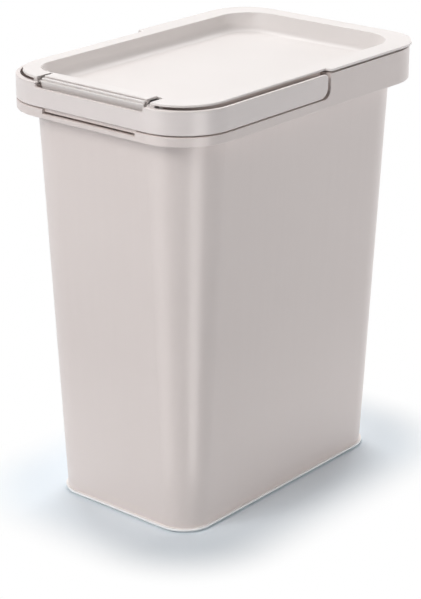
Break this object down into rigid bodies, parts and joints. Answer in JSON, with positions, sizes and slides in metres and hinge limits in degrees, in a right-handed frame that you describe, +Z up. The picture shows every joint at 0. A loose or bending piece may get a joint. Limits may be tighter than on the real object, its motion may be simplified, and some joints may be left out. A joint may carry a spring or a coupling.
{
  "type": "waste bin",
  "caption": "Tall tapered plastic waste bin with a hinged dished lid, a press plate that latches it, and a flush U-shaped carrying handle that swings up.",
  "frame": {"origin": "middle of the flat base, on the floor", "axes": "+Z up, -Y the front with the press plate, +Y the lid's hinge, X across the bin"},
  "size_m": [0.194, 0.291, 0.346],
  "materials": {
    "body_plastic": "fine matte moulded texture, warm light grey",
    "handle_plastic": "fine matte moulded texture, warm light grey",
    "lid_plastic": "satin moulded plastic, warm light grey",
    "catch_plastic": "satin moulded plastic, warm light grey",
    "pin_plastic": "plain moulded plastic"
  },
  "bodies": {
    "bin": {"bin_body": "body_plastic", "handle_pin_left": "pin_plastic", "handle_pin_right": "pin_plastic"},
    "handle": {"carry_handle": "handle_plastic"},
    "lid": {"lid": "lid_plastic", "lid_pin_left": "pin_plastic", "lid_pin_right": "pin_plastic", "catch_pin": "pin_plastic"},
    "catch": {"lid_catch": "catch_plastic"}
  },
  "joints": [
    {"name": "handle_hinge", "type": "hinge", "parent": "bin", "child": "handle", "pos_m": [0, 0.0035, 0.3327], "axis": [-1, 0, 0], "range_deg": [0, 95]},
    {"name": "lid_hinge", "type": "hinge", "parent": "bin", "child": "lid", "pos_m": [0, 0.1385, 0.3395], "axis": [-1, 0, 0], "range_deg": [0, 100]},
    {"name": "catch_hinge", "type": "hinge", "parent": "lid", "child": "catch", "pos_m": [0, -0.1373, 0.3412], "axis": [-1, 0, 0], "range_deg": [0, 9], "stiffness_Nm_per_rad": 0.2, "springref_deg": -5.73}
  ]
}
